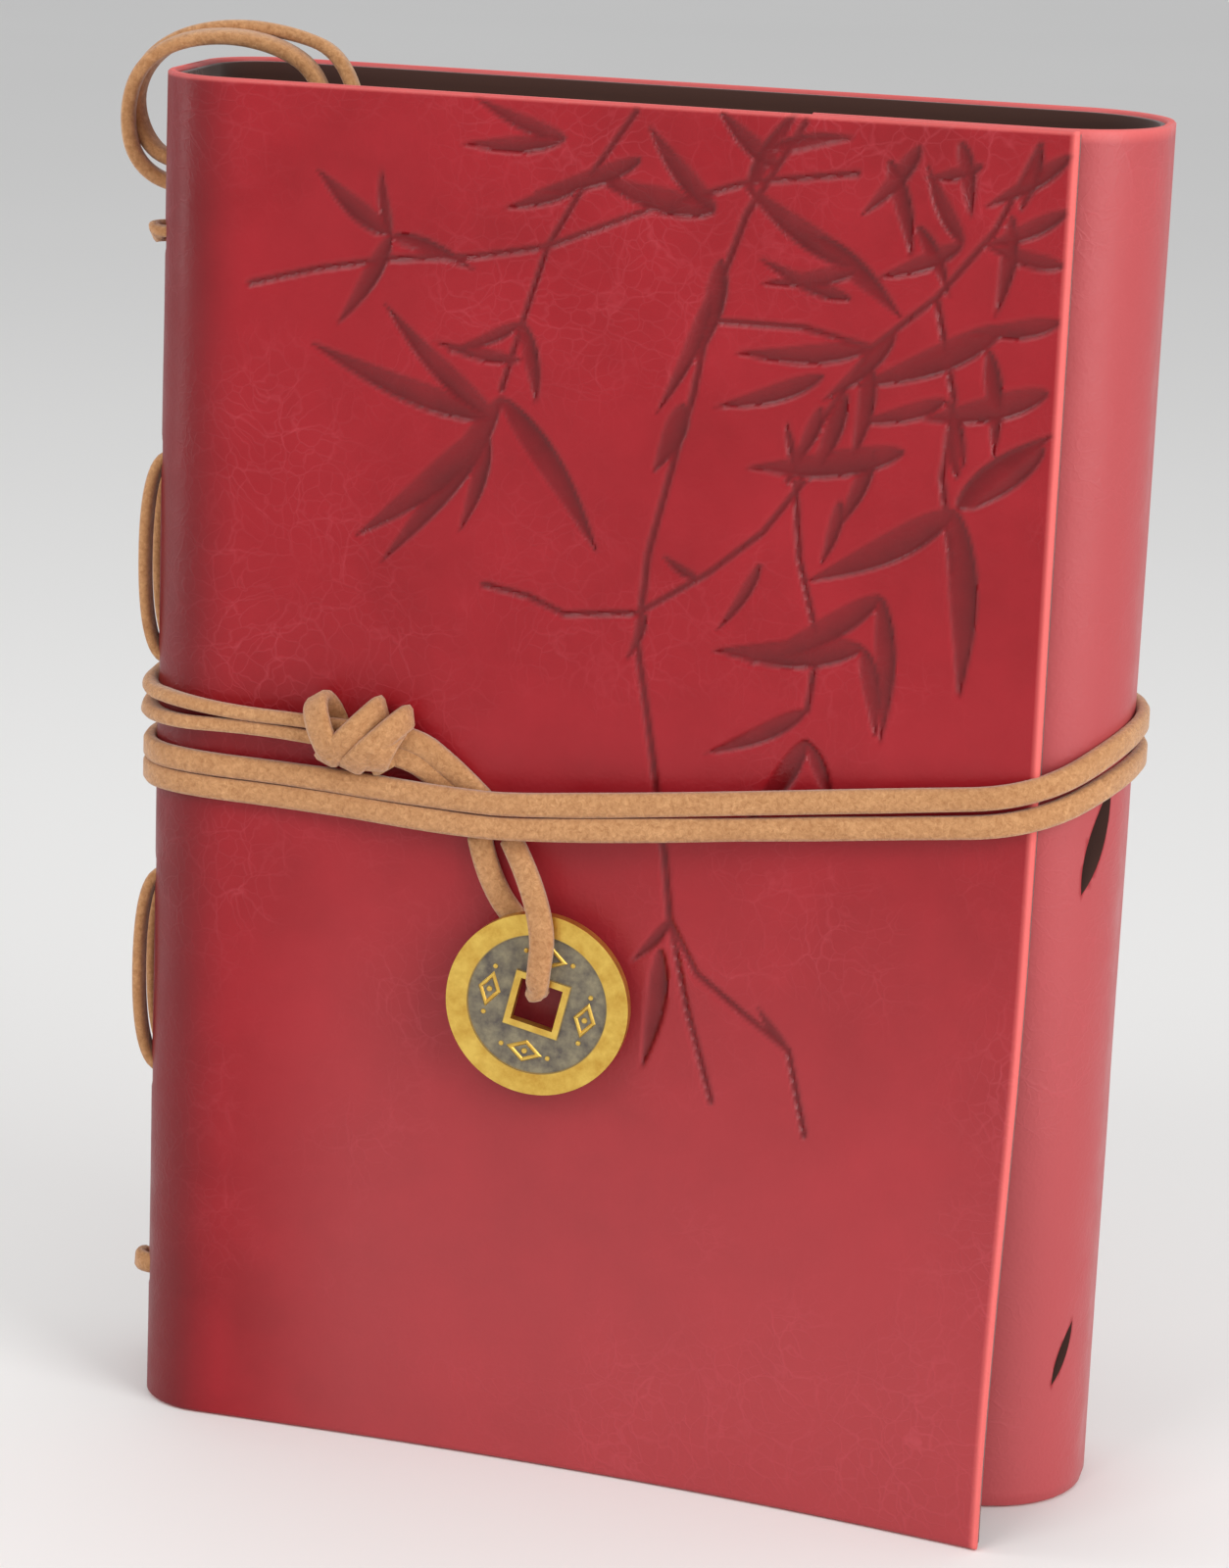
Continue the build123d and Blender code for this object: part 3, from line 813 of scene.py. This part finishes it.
closure_upper = [
    (-62.25, 1.15, 93.6), (-66.15, 1.15, 93.6), (-66.15, -11.8, 93.6), (-59.35, -18.6, 93.6),
    (-40.0, -18.9, 93.2), (-19.75, -21.8, 92.7), (-8.75, -21.8, 92.6), (40.0, -18.9, 97.6),
    (58.3, -18.6, 99.6),
    (69.05, -6.7, 106.0), (69.05, 9.46, 106.6), (59.91, 18.6, 106.6), (40.9, 18.6, 105.9),
    (-42.0, 18.6, 102.7),
    (-59.35, 18.6, 102.0), (-66.15, 11.8, 102.0), (-66.15, -11.8, 102.0), (-59.35, -18.6, 102.0),
    (-50.2, -19.2, 101.0), (-40.15, -20.3, 101.1), (-25.15, -20.3, 100.4), (-20.4, -18.9, 96.4),
    (-15.2, -18.6, 91.8), (-12.6, -18.6, 89.0),
]
closure_lower = [
    (-62.25, 1.15, 90.4), (-66.15, 1.15, 90.4), (-66.15, -11.8, 90.4), (-59.35, -18.6, 90.4),
    (-40.0, -18.9, 90.0), (-19.75, -21.8, 89.4), (-8.75, -21.8, 89.3), (40.0, -18.9, 93.9),
    (58.3, -18.6, 95.8),
    (69.05, -6.7, 101.4), (69.05, 9.46, 101.8), (59.91, 18.6, 101.8), (40.9, 18.6, 101.3),
    (-42.0, 18.6, 99.5),
    (-59.35, 18.6, 98.9), (-66.15, 11.8, 98.9), (-66.15, -11.8, 98.9), (-59.35, -18.6, 98.9),
    (-50.2, -19.2, 99.2), (-40.15, -20.3, 99.1), (-25.8, -20.1, 97.7), (-22.4, -18.7, 94.9),
    (-18.2, -18.6, 92.2), (-16.4, -18.6, 90.3),
]
pendant_route = [
    (-15.9, -18.6, 87.4), (-14.35, -18.6, 80.8), (-8.05, -18.6, 73.8), (-6.95, -18.6, 67.3),
    (-6.25, -23.4, 67.3), (-5.15, -23.4, 79.2), (-11.6, -18.6, 87.4),
]
bookmark_1 = [
    (-62.25, 1.15, 168.2), (-67.55, 1.15, 168.2), (-72.15, -0.35, 171.8), (-73.25, -0.35, 178.4),
    (-71.4, -0.35, 184.4), (-66.2, -0.35, 188.0), (-58.55, -0.35, 189.2), (-51.3, 0.15, 187.8),
    (-46.55, 0.75, 184.4), (-44.55, 1.15, 176.0), (-43.55, 1.15, 160.0), (-44.35, 1.15, 140.0),
    (-43.85, 1.15, 122.0),
]
bookmark_2 = [
    (-62.25, 1.15, 171.4), (-67.55, 1.15, 171.4), (-71.85, 2.65, 174.6), (-73.25, 2.65, 180.2),
    (-70.9, 2.65, 185.4), (-65.6, 2.65, 188.8), (-58.05, 2.65, 190.2), (-50.2, 2.25, 189.5),
    (-43.95, 1.65, 187.4), (-40.55, 1.15, 179.6), (-39.45, 1.15, 164.0), (-40.25, 1.15, 143.0),
    (-39.05, 1.15, 124.0),
]


def knot_twist(share):
    """The knotted pair turns on edge between the spine and the knot."""
    return radians(78) * float(smooth(0.838, 0.862, share) * smooth(0.956, 0.940, share))


def free_cord(name, route, facing, body, node, seed, sink, spacing, pieces=(), twist=None, **facts):
    """A cord: the strap on its route's smooth line, in its CAD node's place."""
    points, length = spline_points(route, spacing)
    piece = strap(name, points, STRAP_WIDTH, STRAP_THICK, facing, seed, sink, twist)
    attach(piece, body)
    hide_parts(node)


# Knot: four turns of strap wrapped round the pair
def wrap(name, centre_x, drop, turns, lean, pitch, radius, start, seed):
    """A strap wound round the pair of strands, as an overhand knot's outer turns are."""
    steps = int(44 * turns)
    centre_y, centre_z = (knot_lo.y + knot_hi.y) / 2, (knot_lo.z + knot_hi.z) / 2 - drop
    points = []
    for n in range(steps + 1):
        a = radians(start) + 2 * pi * turns * n / steps
        x = centre_x + pitch * (n / steps - 0.5) * turns + lean * sin(a)
        points.append((x, centre_y - radius * 0.8 * cos(a), centre_z + radius * sin(a)))
    points = np.array(points)

    def outward(place):
        return (0.0, place[1] - centre_y, place[2] - centre_z)

    piece = strap(name, points, STRAP_WIDTH * 1.12, STRAP_THICK * 0.82, outward, seed)
    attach(piece, "closure")
    return piece


knot_middle = (knot_lo.x + knot_hi.x) / 2
# (name, middle, drop, turns, lean, pitch, radius, start in degrees, seed)
knot_wraps = [
    wrap("knot_wrap_left", knot_middle - 3.9 * MM, -0.2 * MM, 1.3, -1.7 * MM, 0.8 * MM, 3.9 * MM, -150, 21),
    wrap("knot_wrap_middle", knot_middle - 0.3 * MM, 0.1 * MM, 1.2, 3.2 * MM, 1.6 * MM, 3.7 * MM, -170, 22),
    wrap("knot_wrap_right", knot_middle + 3.2 * MM, 0.9 * MM, 1.2, 3.4 * MM, 1.6 * MM, 3.6 * MM, -165, 23),
    wrap("knot_wrap_end", knot_middle + 4.4 * MM, 1.3 * MM, 1.1, 1.2 * MM, 1.0 * MM, 2.9 * MM, -120, 24),
]
for piece in knot_wraps:
    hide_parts("closure_knot")

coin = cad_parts["coin"]


def on_pendant(place):
    """The pendant's strap faces forward all the way."""
    return (0.0, -1.0, 0.0)


def aside_loop(place):
    """A bookmark's strap faces out from the middle of its loop, and along X among the pages."""
    if place[2] <= height - 18 * MM:
        return (1, 0, 0)
    return (place[0] - hinge_x, 0.0, place[2] - (height - 5 * MM))


free_cord(
    "closure_strap_upper", closure_upper, off_book, "closure", "closure_cord_upper", 11, 0.5 * MM, 1.1 * MM,
    pieces=knot_wraps, twist=knot_twist, far_end="knot", lay="taut",
)
free_cord(
    "closure_strap_lower", closure_lower, off_book, "closure", "closure_cord_lower", 12, 0.5 * MM, 1.1 * MM,
    twist=knot_twist, far_end="bare", lay="taut",
)
free_cord(
    "pendant_strap", pendant_route, on_pendant, "pendant", "pendant_cord", 13, 0.0, 0.6 * MM,
    pieces=[coin], far_end="object", lay="hanging",
)
for number, route in ((1, bookmark_1), (2, bookmark_2)):
    free_cord(
        f"bookmark_strap_{number}", route, aside_loop, "book", f"bookmark_cord_{number}", 30 + number,
        0.0, 0.9 * MM,
        far_end="bare", lay="hanging",
    )


# Laces: run in the folds, out and in through the spine
def lace_route(columns, folds, faces_x):
    """The lace's corners, in at every other row: up the first fold and down the second."""
    rows = LACE_ROWS
    tie = (rows[0] + rows[1]) / 2
    route = [(folds[0], columns[0], tie + LACE_TIE_GAP)]
    inside = True
    for column, order in ((0, rows[1:]), (1, rows[::-1])):
        for row in order:
            route.append((folds[column] if inside else faces_x[column], columns[column], row))
            inside = not inside
            route.append((folds[column] if inside else faces_x[column], columns[column], row))
    last = rows[0]
    route += [(faces_x[1], columns[0], last), (folds[0], columns[0], last)]
    route.append((folds[0], columns[0], tie))
    return route


def lace_strap(number, signatures):
    """One lace through the folds of two signatures, its outer runs standing proud of the spine."""
    boxes = [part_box(f"signature_{n}") for n in signatures]
    columns = [(lo.y + hi.y) / 2 for lo, hi in boxes]
    folds = [lo.x + (hi.y - lo.y) / 2 for lo, hi in boxes]
    reach = [max(abs(column) - LACE_HALF - (back_y - spine_radius), 0.0) for column in columns]
    faces_x = [hinge_x - sqrt(spine_radius**2 - r**2) - LACE_STAND for r in reach]
    route = [(x / MM, y / MM, z) for x, y, z in lace_route(columns, folds, faces_x)]
    points, _ = spline_points(route, 0.9 * MM)
    name = f"spine_lace_strap_{number}"
    piece = strap(name, points, LACE_WIDTH, LACE_THICK, lambda place: (-1, 0, 0), 50 + number, 0.5 * MM)
    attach(piece, "book")
    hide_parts(f"spine_lace_{number}")


lace_strap(1, (1, 2))
lace_strap(2, (3, 4))


# ---- coin: the CAD disc in worn brass, with plain raised marks ----
coin.data.materials.clear()
coin.data.materials.append(BRASS)


MARK_RISE = 0.2 * MM
MARK_REACH = 6.75 * MM  # from the coin's middle to each lozenge


def stud(verts, faces, u, v, radius, sides=10):
    """A low round stud: three rings that narrow, closed at both ends."""
    base = len(verts)
    for depth, share in ((0.0, 1.0), (-0.7 * MARK_RISE, 0.85), (-MARK_RISE, 0.45)):
        for n in range(sides):
            a = 2 * pi * n / sides
            verts.append((u + radius * share * cos(a), depth, v + radius * share * sin(a)))
    for ring in (0, sides):
        for n in range(sides):
            low, m = base + ring, (n + 1) % sides
            faces.append((low + n, low + m, low + sides + m, low + sides + n))
    faces.append(tuple(base + 2 * sides + n for n in range(sides)))
    faces.append(tuple(base + n for n in range(sides))[::-1])


def lozenge(verts, faces, u, v, half_u, half_v, line):
    """A raised outline of a lozenge, its line's width a share of its half size."""
    base = len(verts)
    rings = ((0.0, 1.0), (-MARK_RISE, 1.0 - line * 0.3), (-MARK_RISE, 1.0 - line * 0.7), (0.0, 1.0 - line))
    for depth, share in rings:
        for su, sv in ((1, 0), (0, 1), (-1, 0), (0, -1)):
            verts.append((u + su * half_u * share, depth, v + sv * half_v * share))
    for ring in range(4):
        low, high = base + 4 * ring, base + 4 * ((ring + 1) % 4)
        for n in range(4):
            m = (n + 1) % 4
            faces.append((low + n, low + m, high + m, high + n))


def coin_marks():
    """Plain ornament in the sunk field: a lozenge on each side of the hole, and studs between them."""
    centre = (coin_lo + coin_hi) / 2
    face_y = coin_lo.y + COIN_FIELD_DEPTH
    verts, faces = [], []
    for side in range(4):
        a = side * pi / 2
        u, v = -sin(a) * MARK_REACH, cos(a) * MARK_REACH
        long_u, long_v = (2.6 * MM, 1.6 * MM) if side % 2 == 0 else (1.6 * MM, 2.6 * MM)
        lozenge(verts, faces, u, v, long_u, long_v, 0.42)
        stud(verts, faces, u, v, 0.42 * MM)
        for spread in (-3.3 * MM, 3.3 * MM):
            stud(verts, faces, u + cos(a) * spread, v + sin(a) * spread, 0.36 * MM)
    c, s = cos(COIN_TURN), sin(COIN_TURN)
    placed = []
    for u, depth, v in verts:
        x, z = u * c + v * s, -u * s + v * c
        placed.append((centre.x + x, face_y + depth + 0.02 * MM, centre.z + z))
    obj = new_mesh("coin_marks", placed, faces, False)
    obj.data.materials.append(RAISED)
    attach(obj, "pendant")


coin_marks()


# ---- floor, light, camera ----
def pale_floor():
    look = Look("floor", 0.8)
    tone = look.noise(look.own_places(), 3, 2, 0.5)
    look.link(look.mix(tone, (0.87, 0.86, 0.84, 1), (0.90, 0.89, 0.87, 1)), "Base Color")
    size = 6.0
    corners = [(-size, -size, 0), (size, -size, 0), (size, size, 0), (-size, size, 0)]
    floor = new_mesh("floor", corners, [(0, 1, 2, 3)])
    floor.location.z = -0.0002
    floor.data.materials.append(look.material)


def area_light(name, place, target, width, tall, power, colour=(1, 1, 1)):
    data = bpy.data.lights.new(name, "AREA")
    data.shape = "RECTANGLE"
    data.size, data.size_y = width, tall
    data.energy = power
    data.color = colour
    light = bpy.data.objects.new(name, data)
    light.location = place
    light.rotation_euler = (Vector(target) - Vector(place)).to_track_quat("-Z", "Y").to_euler()
    bpy.context.scene.collection.objects.link(light)


pale_floor()
middle = (0.0, 0.0, 0.09)
area_light("side_softbox", (0.70, -0.42, 0.40), middle, 0.45, 0.8, 4.6)
area_light("key_softbox", (-0.40, -0.80, 0.85), middle, 0.5, 0.5, 3.0)
area_light("left_softbox", (-0.85, -0.16, 0.22), middle, 0.22, 0.8, 1.7)
area_light("top_softbox", (0.0, 0.25, 1.0), middle, 0.9, 0.9, 1.4)

world = bpy.data.worlds.new("studio")
world.use_nodes = True
world.node_tree.nodes["Background"].inputs["Color"].default_value = (0.93, 0.94, 0.96, 1)
world.node_tree.nodes["Background"].inputs["Strength"].default_value = 0.62
bpy.context.scene.world = world
bpy.context.scene.view_settings.view_transform = "Standard"



def photo_camera():
    """The photograph's angle: turned right, looking down, and rolled a little. Metres and degrees."""
    yaw, elevation, roll = radians(13.03), radians(13.91), radians(2.35)
    distance, aside, below = 0.62037, 0.003476, 0.000661
    toward = Vector((sin(yaw) * cos(elevation), -cos(yaw) * cos(elevation), sin(elevation)))
    level = Vector((cos(yaw), sin(yaw), 0.0))
    upright = toward.cross(level)
    right = level * cos(roll) + upright * sin(roll)
    up = upright * cos(roll) - level * sin(roll)
    place = Vector((0.00145, 0.0, 0.0925)) - right * aside - up * below + toward * distance
    data = bpy.data.cameras.new("camera")
    data.sensor_fit = "VERTICAL"
    data.sensor_height = 36.0
    data.lens = 105.0
    data.clip_end = 20.0
    camera = bpy.data.objects.new("camera", data)
    axes = Matrix((right, up, toward)).transposed()
    camera.matrix_world = Matrix.Translation(place) @ axes.to_4x4()
    bpy.context.scene.collection.objects.link(camera)
    bpy.context.scene.camera = camera


photo_camera()
